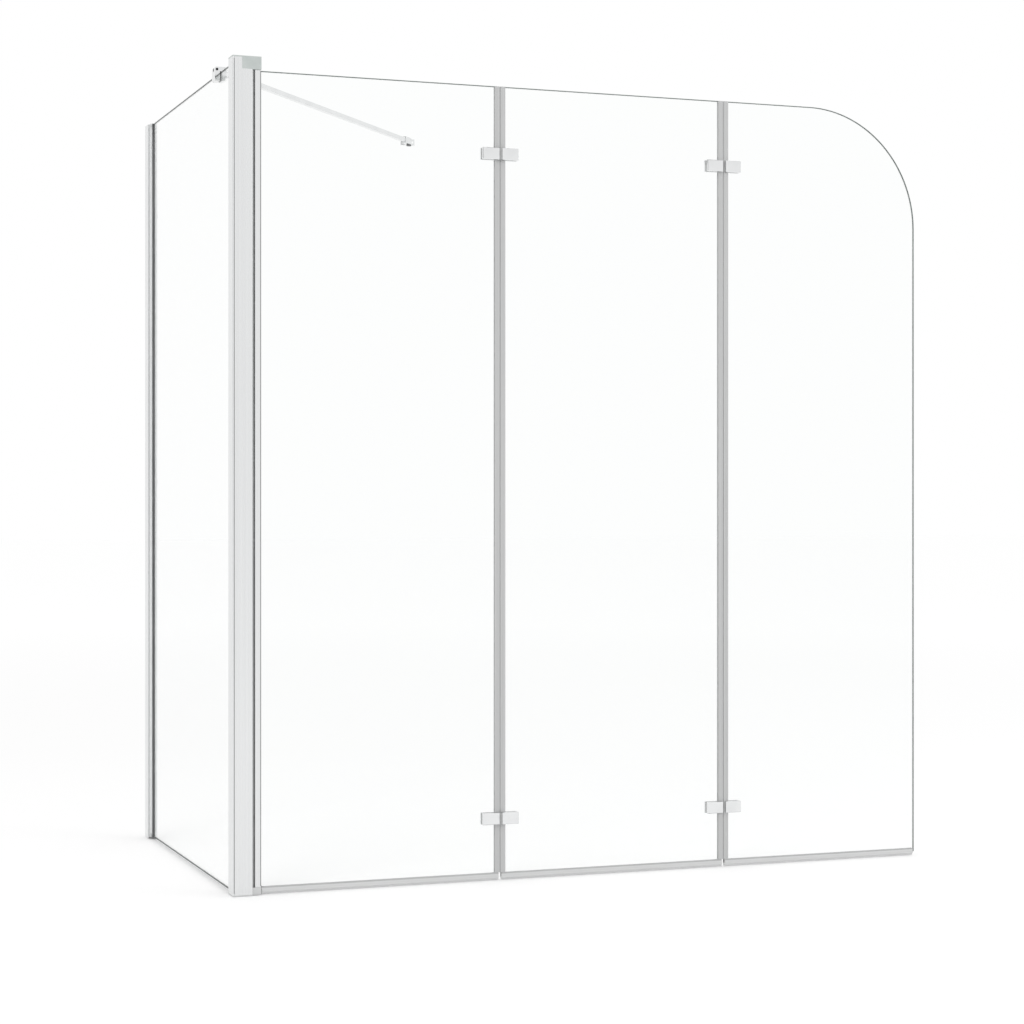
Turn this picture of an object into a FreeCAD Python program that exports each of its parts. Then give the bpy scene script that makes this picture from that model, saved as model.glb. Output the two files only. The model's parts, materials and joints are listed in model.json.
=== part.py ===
import FreeCAD, Part
import os
import re
from math import cos, sin, tau

import Sketcher

# Corner shower screen for the top of a bath, in millimetres.
# The origin is where the side panel's middle plane meets the wall at the height of the bath's rim.
# X runs along the front, Y runs towards the wall and Z runs up.

sizes = {
    # whole screen
    "front_width": 1200,
    "side_depth": 680,
    "screen_height": 1300,
    "adjust_travel": 10,
    # clearances
    "running_gap": 0.2,
    "fit_gap": 0.05,
    "swing_gap": 1,
    "cut_overrun": 1,
    # glass
    "glass_thick": 5,
    "side_glass_foot": 4,
    "side_glass_drop": 8,
    "front_glass_foot": 6.5,
    "glass_setback": 8,
    "corner_radius": 200,
    "glass_bevel": 0.6,
    "glass_hole_radius": 5,
    # fold lines, from the post's outer face
    "first_fold": 440.5,
    "second_fold": 837,
    "fold_gap": 2.6,
    # wall channel
    "channel_width": 20,
    "channel_depth": 28,
    "channel_wall": 1.5,
    "channel_web": 2,
    "channel_rounding": 0.6,
    "wall_hole_radius": 2.5,
    "wall_hole_margin": 96,
    # locking screws in the wall channel
    "lock_margin": 166,
    "lock_setback": 8,
    "lock_shank_radius": 2,
    "lock_head_radius": 4,
    "lock_head_thick": 2.2,
    "lock_tip_gap": 0.1,
    # adjusting profile
    "adjuster_depth": 26,
    "adjuster_wall": 1.5,
    "adjuster_gasket": 2,
    "adjust_play": 1,
    "slide_gap": 0.25,
    "gasket_web": 2,
    "gasket_proud": 1.5,
    # corner post
    "post_width": 32,
    "post_depth": 30,
    "post_wall": 2,
    "post_gasket": 3,
    "post_pocket": 16,
    "post_rounding": 1.5,
    "groove_in": 2,
    "groove_width": 1,
    "groove_depth": 1.2,
    "foot_cap_thick": 2,
    "top_cap_thick": 2,
    "cap_plug": 8,
    "plug_gap": 0.2,
    # pivot brackets
    "top_bracket_height": 20,
    "bottom_bracket_height": 12,
    "bracket_setback": 3,
    "bracket_back": 26,
    "bracket_end": 46,
    "bracket_spigot": 15,
    "bracket_screw_radius": 1.75,
    "bracket_screw_grip": 8,
    "bracket_head_radius": 3.4,
    "bracket_head_thick": 2,
    # pivot profile and its pins
    "pivot_in": 40,
    "pivot_back": 20,
    "pivot_pin_radius": 3,
    "pivot_pin_grip": 8,
    "pivot_pin_reach": 16,
    "bush_flange_radius": 6.2,
    "bush_flange_thick": 1.5,
    "tube_radius": 6.5,
    "tube_bore": 4.5,
    "profile_start": 36.3,
    "profile_end": 44.6,
    "profile_wall": 1.5,
    "pivot_gasket_thick": 1,
    "notch_gap": 1.5,
    # lip seal between the post and the pivot profile
    "lip_root": 9,
    "lip_tip": 4,
    "lip_gap": 0.3,
    # fold hinges
    "hinge_drop": 109,
    "hinge_rise": 100,
    "plate_width": 28,
    "plate_height": 19,
    "plate_thick": 5.2,
    "plate_bevel": 0.8,
    "pad_thick": 0.8,
    "pad_inset": 0.5,
    "axis_proud": 0.5,
    "barrel_radius": 2.3,
    "middle_knuckle": 7,
    "knuckle_gap": 0.25,
    "hinge_pin_radius": 1.2,
    "hinge_screw_radius": 2,
    "hinge_screw_grip": 4,
    "hinge_head_radius": 3.6,
    "screw_gap": 0.1,
    # seals on the glass edges
    "seal_wall": 1.2,
    "seal_leg": 6.4,
    "seal_meet": 0.4,
    "sweep_top": 12.5,
    "sweep_web": 1.5,
    "sweep_tip": 0.8,
    "sweep_inset": 3,
    "rim_gap": 0.5,
    "seal_gap": 0.4,
    # stabiliser bar and its clamp
    "clamp_at": 115,
    "clamp_length": 22,
    "clamp_height": 22,
    "clamp_rounding": 2,
    "fitting_bevel": 0.6,
    "outer_jaw": 8,
    "inner_jaw": 6,
    "clamp_pad": 1,
    "clamp_pad_inset": 1,
    "clamp_lip_gap": 0.8,
    "bolt_drop": 4,
    "bolt_radius": 2.25,
    "bolt_grip": 5,
    "bolt_head_radius": 2.9,
    "bolt_head_thick": 3.5,
    "bar_drop": 10,
    "bar_side": 8,
    "bar_wall": 1.2,
    "bar_rounding": 0.8,
    "bar_wall_at": 489.5,
    "fork_length": 26,
    "fork_width": 10,
    "fork_height": 12,
    "fork_socket": 10,
    "tongue_thick": 6,
    "tongue_width": 8,
    "tongue_reach": 7,
    "swivel_pin_radius": 2,
    "swivel_head_radius": 3,
    "swivel_head_thick": 1,
    "bracket_plate_width": 27,
    "bracket_plate_thick": 3,
    "bracket_hole_pitch": 19,
    "bracket_hole_radius": 2.1,
    # hexagon sockets in the screw heads
    "lock_socket": 1.5,
    "hinge_socket": 1.4,
    "bolt_socket": 2,
    "socket_depth": 1.4,
}

doc = FreeCAD.newDocument("shower_screen")
size = doc.addObject("Spreadsheet::Sheet", "size")
for row, (alias, value) in enumerate(sizes.items(), start=1):
    size.set(f"A{row}", alias)
    size.set(f"B{row}", str(value))
    size.setAlias(f"B{row}", alias)
doc.recompute()

pieces = {}
# Two positions closer than this are the same.
hair = 1e-6


# Writes an expression in which every two-word name is a cell of the sheet.
def bind(item, prop, text):
    item.setExpression(prop, re.sub(r"[a-z]+(?:_[a-z]+)+", r"size.\g<0>", text))


def place(item, frame, turn=None):
    if turn:
        item.Placement = FreeCAD.Placement(FreeCAD.Vector(), turn)
    for axis, text in zip("xyz", frame):
        bind(item, f"Placement.Base.{axis}", text)


# A body that stands in a frame of its own. Members of a group aren't pieces by themselves.
def new_body(label, frame=("0", "0", "0"), turn=None, member=False):
    body = doc.addObject("PartDesign::Body", label)
    body.Label = label
    place(body, frame, turn)
    if not member:
        pieces[label] = body
    return body


def group(label, members):
    compound = doc.addObject("Part::Compound", label)
    compound.Label = label
    compound.Links = members
    pieces[label] = compound


def new_sketch(body, role, level="0"):
    sketch = body.newObject("Sketcher::SketchObject", f"{body.Name}_sketch")
    support = next(item for item in body.Origin.OriginFeatures if item.Role == role)
    sketch.AttachmentSupport = [(support, "")]
    sketch.MapMode = "FlatFace"
    bind(sketch, "AttachmentOffset.Base.z", level)
    return sketch


def pin_point(sketch, element, end, point):
    for kind, text in zip(("DistanceX", "DistanceY"), point):
        number = sketch.addConstraint(Sketcher.Constraint(kind, -1, 1, element, end, 1))
        bind(sketch, f"Constraints[{number}]", text)


# A closed outline. It is drawn as a unit polygon, and its corners then go where their expressions say.
def draw_outline(sketch, points):
    count = len(points)
    turns = [tau * i / count for i in range(count)]
    spots = [FreeCAD.Vector(cos(turn), sin(turn), 0) for turn in turns]
    lines = [
        sketch.addGeometry(Part.LineSegment(start, end))
        for start, end in zip(spots, spots[1:] + spots[:1])
    ]
    for line, following in zip(lines, lines[1:] + lines[:1]):
        sketch.addConstraint(Sketcher.Constraint("Coincident", line, 2, following, 1))
    for line, point in zip(lines, points):
        pin_point(sketch, line, 1, point)


def draw_circle(sketch, centre, radius):
    ring = sketch.addGeometry(Part.Circle(FreeCAD.Vector(), FreeCAD.Vector(0, 0, 1), 1))
    pin_point(sketch, ring, 3, centre)
    number = sketch.addConstraint(Sketcher.Constraint("Radius", ring, 1))
    bind(sketch, f"Constraints[{number}]", radius)


def pad(body, sketch, length, reverse=False):
    feature = body.newObject("PartDesign::Pad", f"{body.Name}_pad")
    feature.Profile = sketch
    feature.Reversed = reverse
    bind(feature, "Length", length)


# A pocket with no length goes right through, both ways.
def pocket(body, sketch, length=None, reverse=False):
    feature = body.newObject("PartDesign::Pocket", f"{body.Name}_pocket")
    feature.Profile = sketch
    if length:
        feature.Reversed = reverse
        bind(feature, "Length", length)
    else:
        feature.Type = "ThroughAll"
        feature.Midplane = True


def rectangle(left, right, low, high):
    return [(left, low), (right, low), (right, high), (left, high)]


# Completes an outline from the half of it on the positive side of one coordinate.
def mirrored(points, across):
    other = []
    for point in reversed(points):
        flipped = list(point)
        flipped[across] = f"-({point[across]})"
        other.append(tuple(flipped))
    return points + other


# A section in plan, carried up from its foot. Further outlines are holes in it.
def column(body, outlines, foot, rise):
    sketch = new_sketch(body, "XY_Plane", foot)
    for points in outlines:
        draw_outline(sketch, points)
    pad(body, sketch, rise)


# An outline seen from the front, with its front face at a given Y, carried towards the wall.
def slab(body, points, front, thick):
    sketch = new_sketch(body, "XZ_Plane", f"-({front})")
    draw_outline(sketch, points)
    pad(body, sketch, thick, reverse=True)


# A section seen along X, carried from a given X.
def run(body, points, start, length):
    sketch = new_sketch(body, "YZ_Plane", start)
    draw_outline(sketch, points)
    pad(body, sketch, length)


def drill(body, role, centres, radius):
    sketch = new_sketch(body, role)
    for centre in centres:
        draw_circle(sketch, centre, radius)
    pocket(body, sketch)


# A turned piece about its own Z axis, from its half section.
def turned(body, points):
    sketch = new_sketch(body, "XZ_Plane")
    draw_outline(sketch, points)
    feature = body.newObject("PartDesign::Revolution", f"{body.Name}_turn")
    feature.Profile = sketch
    feature.ReferenceAxis = (sketch, ["V_Axis"])
    feature.Angle = 360


# A screw with its head above its own XY plane, its shank below, and a hexagon socket.
# A sunk head tapers down to the shank.
def screw(label, frame, turn, shank, length, head, thick, socket, sunk=False):
    body = new_body(label, frame, turn, member=True)
    half_section = [
        ("0", f"-({length})"),
        (shank, f"-({length})"),
        (shank, "0"),
        (head, thick),
        ("0", thick),
    ]
    if not sunk:
        half_section.insert(half_section.index((head, thick)), (head, "0"))
    turned(body, half_section)
    sketch = new_sketch(body, "XY_Plane", thick)
    corners = range(0, 360, 60)
    draw_outline(sketch, [(f"{socket} * cos({i} deg)", f"{socket} * sin({i} deg)") for i in corners])
    pocket(body, sketch, "socket_depth")
    return body


# Rounds or bevels the edges of a body that pass a test.
def dress(body, kind, prop, amount, wanted):
    doc.recompute()
    base = body.Tip
    edges = [f"Edge{i}" for i, edge in enumerate(base.Shape.Edges, start=1) if wanted(edge)]
    feature = body.newObject(f"PartDesign::{kind}", f"{body.Name}_{kind.lower()}")
    feature.Base = (base, edges)
    bind(feature, prop, amount)


def near(one, other):
    return abs(one - other) < hair


# Tells the edges that lie across an axis, at the low or the high end of a body along it.
def at_end(body, axis, high):
    doc.recompute()
    end = getattr(body.Tip.Shape.BoundBox, f"{axis}Max" if high else f"{axis}Min")

    def test(edge):
        reach = edge.BoundBox
        return near(getattr(reach, f"{axis}Min"), end) and near(getattr(reach, f"{axis}Max"), end)

    return test


# Rounds the upright edges at the corners of a body's own box, on its left side, its right side or both.
def round_corners(body, radius, left=True, right=True):
    doc.recompute()
    box = body.Tip.Shape.BoundBox

    def corner(edge):
        start, end = (vertex.Point for vertex in edge.Vertexes)
        upright = near(start.x, end.x) and near(start.y, end.y)
        at_side = left and near(start.x, box.XMin) or right and near(start.x, box.XMax)
        at_face = near(start.y, box.YMin) or near(start.y, box.YMax)
        return upright and at_side and at_face

    dress(body, "Fillet", "Radius", radius, corner)


to_front = FreeCAD.Rotation(FreeCAD.Vector(1, 0, 0), -90)
to_right = FreeCAD.Rotation(FreeCAD.Vector(0, 1, 0), 90)
to_left = FreeCAD.Rotation(FreeCAD.Vector(0, 1, 0), -90)

half_glass = "glass_thick / 2"
side_top = "screen_height - side_glass_drop"
post_left = "-(post_wall + post_gasket + glass_thick / 2)"
post_frame = (post_left, "-side_depth", "0")
front_frame = (post_left, "glass_setback - side_depth", "0")
top_bracket_foot = "screen_height - top_bracket_height"
front_top = f"{top_bracket_foot} - swing_gap"

# Wall channel, screwed to the wall through its web
channel_half = "channel_width / 2"
channel_inner = "channel_width / 2 - channel_wall"
lock_levels = ["lock_margin", f"({side_top}) / 2", f"{side_top} - lock_margin"]
lock_depth = "-(channel_depth - lock_setback)"

wall_channel = new_body("wall_channel")
channel_section = [
    (channel_half, "0"),
    (channel_half, "-channel_depth"),
    (channel_inner, "-channel_depth"),
    (channel_inner, "-channel_web"),
]
column(wall_channel, [mirrored(channel_section, 0)], "0", side_top)
round_corners(wall_channel, "channel_rounding")
wall_hole_count = 4
wall_hole_step = f"({side_top} - wall_hole_margin * 2) / {wall_hole_count - 1}"
wall_holes = [("0", f"wall_hole_margin + {wall_hole_step} * {i}") for i in range(wall_hole_count)]
drill(wall_channel, "XZ_Plane", wall_holes, "wall_hole_radius")
lock_holes = new_sketch(wall_channel, "YZ_Plane", "channel_width / 2 - channel_wall * 2")
for level in lock_levels:
    draw_circle(lock_holes, (lock_depth, level), "lock_shank_radius + fit_gap")
pocket(wall_channel, lock_holes, "channel_wall * 2 + cut_overrun", reverse=True)

group("locking_screws", [
    screw(f"locking_screw_{i}", (channel_half, lock_depth, level), to_right, "lock_shank_radius",
          "channel_wall + slide_gap - lock_tip_gap", "lock_head_radius", "lock_head_thick", "lock_socket")
    for i, level in enumerate(lock_levels)
])

# Adjusting profile, which slides in the wall channel and grips the side glass
adjuster_half = "channel_width / 2 - channel_wall - slide_gap"
adjuster_back = "-(channel_web + adjust_travel + adjust_play)"
adjuster_front = f"{adjuster_back} - adjuster_depth"
adjuster_mouth = "glass_thick / 2 + adjuster_gasket"
adjuster_pocket = f"{adjuster_back} - adjuster_wall"
side_glass_back = f"{adjuster_pocket} - gasket_web"
side_rise = f"{side_top} - side_glass_foot"

adjusting_profile = new_body("adjusting_profile")
adjuster_section = [
    (adjuster_half, adjuster_back),
    (adjuster_half, adjuster_front),
    (adjuster_mouth, adjuster_front),
    (adjuster_mouth, f"{adjuster_front} + adjuster_wall"),
    (f"{adjuster_half} - adjuster_wall", f"{adjuster_front} + adjuster_wall"),
    (f"{adjuster_half} - adjuster_wall", adjuster_pocket),
]
column(adjusting_profile, [mirrored(adjuster_section, 0)], "side_glass_foot", side_rise)

adjusting_gasket = new_body("adjusting_gasket")
adjuster_gasket_section = [
    (adjuster_mouth, adjuster_pocket),
    (adjuster_mouth, f"{adjuster_front} - gasket_proud"),
    (half_glass, f"{adjuster_front} - gasket_proud"),
    (half_glass, side_glass_back),
]
column(adjusting_gasket, [mirrored(adjuster_gasket_section, 0)], "side_glass_foot", side_rise)

# Side glass, from the post's pocket to the adjusting profile
post_mouth = "post_depth - side_depth"
post_pocket_foot = f"{post_mouth} - post_pocket"
side_glass_front = f"{post_pocket_foot} + gasket_web"

side_glass = new_body("side_glass")
side_glass_section = rectangle(f"-{half_glass}", half_glass, side_glass_front, side_glass_back)
column(side_glass, [side_glass_section], "side_glass_foot", side_rise)
dress(side_glass, "Chamfer", "Size", "glass_bevel", lambda edge: near(edge.BoundBox.XLength, 0))

post_gasket = new_body("post_gasket")
post_gasket_section = [
    ("glass_thick / 2 + post_gasket", post_pocket_foot),
    ("glass_thick / 2 + post_gasket", f"{post_mouth} + gasket_proud"),
    (half_glass, f"{post_mouth} + gasket_proud"),
    (half_glass, side_glass_front),
]
column(post_gasket, [mirrored(post_gasket_section, 0)], "side_glass_foot", side_rise)

# Corner post, an extrusion with a pocket for the side glass, two hollow chambers and a shadow groove
pocket_end = "post_wall + post_gasket * 2 + glass_thick"
chamber_start = f"{pocket_end} + post_wall"
chamber_end = "post_width - post_wall"
chamber_middle = f"({chamber_start} + {chamber_end}) / 2"
pocket_back = "post_depth - post_pocket"
small_chamber = rectangle("post_wall", pocket_end, "post_wall", f"{pocket_back} - post_wall")
post_outline = [
    ("0", "0"),
    ("groove_in", "0"),
    ("groove_in", "groove_depth"),
    ("groove_in + groove_width", "groove_depth"),
    ("groove_in + groove_width", "0"),
    ("post_width", "0"),
    ("post_width", "post_depth"),
    (pocket_end, "post_depth"),
    (pocket_end, pocket_back),
    ("post_wall", pocket_back),
    ("post_wall", "post_depth"),
    ("0", "post_depth"),
]
bracket_screw_levels = (
    f"{top_bracket_foot} - bracket_spigot / 2",
    "(foot_cap_thick + bottom_bracket_height) / 2",
)

corner_post = new_body("corner_post", post_frame)
large_chamber = rectangle(chamber_start, chamber_end, "post_wall", "post_depth - post_wall")
post_rise = "screen_height - foot_cap_thick - top_cap_thick"
column(corner_post, [post_outline, small_chamber, large_chamber], "foot_cap_thick", post_rise)
round_corners(corner_post, "post_rounding")
top_notch = new_sketch(corner_post, "XZ_Plane")
notch_outline = rectangle(chamber_start, "post_width + cut_overrun", top_bracket_foot, "screen_height")
draw_outline(top_notch, notch_outline)
pocket(corner_post, top_notch)
arm_notch = new_sketch(corner_post, "YZ_Plane", f"{chamber_end} - cut_overrun")
draw_outline(arm_notch, rectangle("bracket_setback - plug_gap", "bracket_back + plug_gap",
                                  "foot_cap_thick - cut_overrun", "bottom_bracket_height + plug_gap"))
pocket(corner_post, arm_notch, "post_wall + cut_overrun * 2", reverse=True)
screw_holes = new_sketch(corner_post, "XZ_Plane", "-(post_depth + cut_overrun)")
for level in bracket_screw_levels:
    draw_circle(screw_holes, (chamber_middle, level), "bracket_screw_radius + fit_gap")
pocket(corner_post, screw_holes, "post_wall + cut_overrun * 2", reverse=True)

post_foot_cap = new_body("post_foot_cap", post_frame)
column(post_foot_cap, [rectangle("0", "post_width", "0", "post_depth")], "0", "foot_cap_thick")
round_corners(post_foot_cap, "post_rounding")
cap_plug_outline = rectangle("post_wall + plug_gap", f"{pocket_end} - plug_gap",
                             "post_wall + plug_gap", f"{pocket_back} - post_wall - plug_gap")
column(post_foot_cap, [cap_plug_outline], "foot_cap_thick", "cap_plug")

post_top_cap = new_body("post_top_cap", post_frame)
cap_foot = "screen_height - top_cap_thick"
column(post_top_cap, [rectangle("0", chamber_start, "0", "post_depth")], cap_foot, "top_cap_thick")
round_corners(post_top_cap, "post_rounding", right=False)
column(post_top_cap, [cap_plug_outline], f"{cap_foot} - cap_plug", "cap_plug")

# Lip seal that closes the gap between the post and the pivot profile
post_edge_seal = new_body("post_edge_seal", front_frame)
lip_outline = [
    ("post_width", "lip_root / 2"),
    ("profile_start - lip_gap", "lip_tip / 2"),
]
lip_foot = "bottom_bracket_height + running_gap"
lip_rise = f"{top_bracket_foot} - running_gap - ({lip_foot})"
column(post_edge_seal, [mirrored(lip_outline, 1)], lip_foot, lip_rise)

# Pivot brackets, let into the top and foot of the post
pivot_spot = ("pivot_in", "pivot_back")
pivot_hole = "pivot_pin_radius + fit_gap"

top_pivot_bracket = new_body("top_pivot_bracket", post_frame)
top_block = rectangle(chamber_start, "bracket_end", "0", "post_depth")
column(top_pivot_bracket, [top_block], top_bracket_foot, "top_bracket_height")
round_corners(top_pivot_bracket, "post_rounding", left=False)
spigot = rectangle(f"{chamber_start} + plug_gap", f"{chamber_end} - plug_gap",
                   "post_wall + plug_gap", "post_depth - post_wall - plug_gap")
column(top_pivot_bracket, [spigot], f"{top_bracket_foot} - bracket_spigot", "bracket_spigot")
top_socket = new_sketch(top_pivot_bracket, "XY_Plane", top_bracket_foot)
draw_circle(top_socket, pivot_spot, pivot_hole)
pocket(top_pivot_bracket, top_socket, "pivot_pin_grip", reverse=True)

bottom_pivot_bracket = new_body("bottom_pivot_bracket", post_frame)
arm_outline = [
    (f"{chamber_start} + plug_gap", "foot_cap_thick + plug_gap"),
    ("post_width + plug_gap", "foot_cap_thick + plug_gap"),
    ("post_width + plug_gap", "rim_gap"),
    ("bracket_end", "rim_gap"),
    ("bracket_end", "bottom_bracket_height"),
    (f"{chamber_start} + plug_gap", "bottom_bracket_height"),
]
slab(bottom_pivot_bracket, arm_outline, "bracket_setback", "bracket_back - bracket_setback")
bottom_socket = new_sketch(bottom_pivot_bracket, "XY_Plane", "bottom_bracket_height")
draw_circle(bottom_socket, pivot_spot, pivot_hole)
pocket(bottom_pivot_bracket, bottom_socket, "pivot_pin_grip")

# The holes in the brackets start where the fixing screws enter from the back of the post.
screw_tip = "post_depth - post_wall - bracket_screw_grip"
for bracket, level in zip((top_pivot_bracket, bottom_pivot_bracket), bracket_screw_levels):
    entry = new_sketch(bracket, "XZ_Plane", "-post_depth")
    draw_circle(entry, (chamber_middle, level), "bracket_screw_radius + fit_gap")
    pocket(bracket, entry, f"post_depth - ({screw_tip}) + screw_gap", reverse=True)

group("bracket_screws", [
    screw(f"bracket_screw_{i}", (f"{post_left} + {chamber_middle}", post_mouth, level), to_front,
          "bracket_screw_radius", f"post_depth - ({screw_tip})", "bracket_head_radius", "bracket_head_thick",
          "hinge_socket")
    for i, level in enumerate(bracket_screw_levels)
])

pivot_axis = (f"{post_left} + pivot_in", "pivot_back - side_depth")
top_pivot_pin = new_body("top_pivot_pin", (*pivot_axis, top_bracket_foot))
turned(top_pivot_pin, rectangle("0", "pivot_pin_radius", "-pivot_pin_reach", "pivot_pin_grip"))
bottom_pivot_pin = new_body("bottom_pivot_pin", (*pivot_axis, "bottom_bracket_height"))
turned(bottom_pivot_pin, rectangle("0", "pivot_pin_radius", "-pivot_pin_grip", "pivot_pin_reach"))

# Pivot profile: a channel for the edge of the first glass, with the pivot tube behind it
profile_foot = "bottom_bracket_height + running_gap + bush_flange_thick"
profile_top = f"{top_bracket_foot} - running_gap - bush_flange_thick"
profile_rise = f"{profile_top} - ({profile_foot})"
pocket_half = "glass_thick / 2 + pivot_gasket_thick"
profile_half = f"{pocket_half} + profile_wall"
pocket_start = "profile_start + profile_wall"
tube_back = "pivot_back - glass_setback"
neck_end = "pivot_in * 2 - profile_start"

pivot_profile = new_body("pivot_profile", front_frame)
profile_section = [
    ("profile_start", f"-({profile_half})"),
    ("profile_end", f"-({profile_half})"),
    ("profile_end", f"-({pocket_half})"),
    (pocket_start, f"-({pocket_half})"),
    (pocket_start, pocket_half),
    ("profile_end", pocket_half),
    ("profile_end", profile_half),
    (neck_end, profile_half),
    (neck_end, tube_back),
    ("profile_start", tube_back),
]
column(pivot_profile, [profile_section], profile_foot, profile_rise)
tube = new_sketch(pivot_profile, "XY_Plane", profile_foot)
draw_circle(tube, ("pivot_in", tube_back), "tube_radius")
pad(pivot_profile, tube, profile_rise)
drill(pivot_profile, "XY_Plane", [("pivot_in", tube_back)], "tube_bore")

first_glass_start = f"{pocket_start} + pivot_gasket_thick"
pivot_gasket = new_body("pivot_gasket", front_frame)
pivot_gasket_section = [
    (pocket_start, pocket_half),
    ("profile_end + gasket_proud", pocket_half),
    ("profile_end + gasket_proud", half_glass),
    (first_glass_start, half_glass),
]
column(pivot_gasket, [mirrored(pivot_gasket_section, 1)], profile_foot, profile_rise)

# Flanged bushes in the ends of the tube, which run on the pivot pins
bush_levels = {"top_bush": (profile_top, ""), "bottom_bush": (profile_foot, "-")}
for label, (level, away) in bush_levels.items():
    into = "" if away else "-"
    bush = new_body(label, (*pivot_axis, level))
    turned(bush, [
        (pivot_hole, f"{into}pivot_pin_reach"),
        ("tube_bore - fit_gap", f"{into}pivot_pin_reach"),
        ("tube_bore - fit_gap", "0"),
        ("bush_flange_radius", "0"),
        ("bush_flange_radius", f"{away}bush_flange_thick"),
        (pivot_hole, f"{away}bush_flange_thick"),
    ])

# Front glass: each panel's edges, then the holes for its hinge screws
hinge_levels = {"upper": f"{front_top} - hinge_drop", "lower": "hinge_rise"}
screw_in = "fold_gap + plate_width / 2"
first_glass_end = "first_fold - fold_gap"
seal_start = "bracket_end + notch_gap"
glass_outlines = {
    1: [
        (first_glass_start, profile_foot),
        (seal_start, profile_foot),
        (seal_start, "front_glass_foot"),
        (first_glass_end, "front_glass_foot"),
        (first_glass_end, front_top),
        (first_glass_start, front_top),
    ],
    2: rectangle("first_fold + fold_gap", "second_fold - fold_gap", "front_glass_foot", front_top),
    3: rectangle("second_fold + fold_gap", "front_width", "front_glass_foot", front_top),
}
glass_holes = {
    1: [f"first_fold - ({screw_in})"],
    2: [f"first_fold + {screw_in}", f"second_fold - ({screw_in})"],
    3: [f"second_fold + {screw_in}"],
}
sweep_ends = {
    1: (seal_start, first_glass_end),
    2: ("first_fold + fold_gap", "second_fold - fold_gap"),
    3: ("second_fold + fold_gap", "front_width - sweep_inset"),
}
sweep_section = [
    ("sweep_tip", "rim_gap"),
    ("glass_thick / 2 + seal_wall", "front_glass_foot - sweep_web"),
    ("glass_thick / 2 + seal_wall", "sweep_top"),
    (half_glass, "sweep_top"),
    (half_glass, "front_glass_foot"),
]


def top_right(edge):
    box = edge.BoundBox
    glass = front_glass.Tip.Shape.BoundBox
    return near(box.XMin, glass.XMax) and near(box.ZMin, glass.ZMax) and near(box.XLength, 0)


# The round corner stays clear of the seal on the last fold.
free_width = "front_width - second_fold - fold_gap - seal_leg"
for number, points in glass_outlines.items():
    front_glass = new_body(f"front_glass_{number}", front_frame)
    slab(front_glass, points, f"-{half_glass}", "glass_thick")
    if number == len(glass_outlines):
        dress(front_glass, "Fillet", "Radius", f"min(corner_radius; {free_width})", top_right)
    dress(front_glass, "Chamfer", "Size", "glass_bevel", lambda edge: near(edge.BoundBox.YLength, 0))
    spots = [(across, level) for across in glass_holes[number] for level in hinge_levels.values()]
    drill(front_glass, "XZ_Plane", spots, "glass_hole_radius")
    start, end = sweep_ends[number]
    bottom_seal = new_body(f"bottom_seal_{number}", front_frame)
    run(bottom_seal, mirrored(sweep_section, 0), start, f"{end} - ({start})")

# Fold hinges: two on each fold line, with knuckles outside on the first and inside on the second
folds = {"first": ("first_fold", -1), "second": ("second_fold", 1)}
hands = {"left": -1, "right": 1}
panel_of = {("first", "left"): 1, ("first", "right"): 2, ("second", "left"): 2, ("second", "right"): 3}
plate_inner = "(glass_thick / 2 + pad_thick)"
plate_outer = "(glass_thick / 2 + pad_thick + plate_thick)"
hinge_axis = "(glass_thick / 2 + pad_thick + plate_thick + axis_proud)"
head_sink = "(hinge_head_radius - hinge_screw_radius)"
side_knuckle = "(plate_height - middle_knuckle) / 2 - knuckle_gap"
middle_knuckles = [("-middle_knuckle / 2", "middle_knuckle")]
side_knuckles = [("-plate_height / 2", side_knuckle), ("middle_knuckle / 2 + knuckle_gap", side_knuckle)]


# A plate on one face of the glass. An inside plate takes the screw's sunk head, an outside plate its thread.
def hinge_plate(body, hand, face):
    outline = rectangle(f"{hand} * fold_gap", f"{hand} * (fold_gap + plate_width)",
                        f"{face} * {plate_inner}", f"{face} * {plate_outer}")
    column(body, [outline], "-plate_height / 2", "plate_height")
    doc.recompute()
    box = body.Tip.Shape.BoundBox
    show = box.YMax if face > 0 else box.YMin
    knuckle_side = box.XMin if hand > 0 else box.XMax

    def on_show(edge):
        reach = edge.BoundBox
        on_face = near(reach.YMin, show) and near(reach.YMax, show)
        at_knuckle = near(reach.XMin, knuckle_side) and near(reach.XMax, knuckle_side)
        return on_face and not at_knuckle

    def hole_rim(edge):
        return on_show(edge) and len(edge.Vertexes) == 1

    dress(body, "Chamfer", "Size", "plate_bevel", on_show)
    spot = (f"{hand} * ({screw_in})", "0")
    if face > 0:
        drill(body, "XZ_Plane", [spot], "hinge_screw_radius + screw_gap")
        dress(body, "Chamfer", "Size", head_sink, hole_rim)
    else:
        thread = new_sketch(body, "XZ_Plane", plate_inner)
        draw_circle(thread, spot, "hinge_screw_radius + screw_gap")
        pocket(body, thread, "hinge_screw_grip + screw_gap", reverse=True)


# Knuckles on the edge of a plate: a barrel on the hinge axis and the arm that carries it.
def add_knuckles(body, hand, face, knuckles):
    axis = ("0", f"{face} * {hinge_axis}")
    arm = rectangle("0", f"{hand} * fold_gap", f"{face} * ({hinge_axis} - barrel_radius)",
                    f"{face} * {plate_outer}")
    for foot, rise in knuckles:
        column(body, [arm], foot, rise)
        barrel = new_sketch(body, "XY_Plane", foot)
        draw_circle(barrel, axis, "barrel_radius")
        pad(body, barrel, rise)
    drill(body, "XY_Plane", [axis], "hinge_pin_radius + fit_gap")


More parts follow.
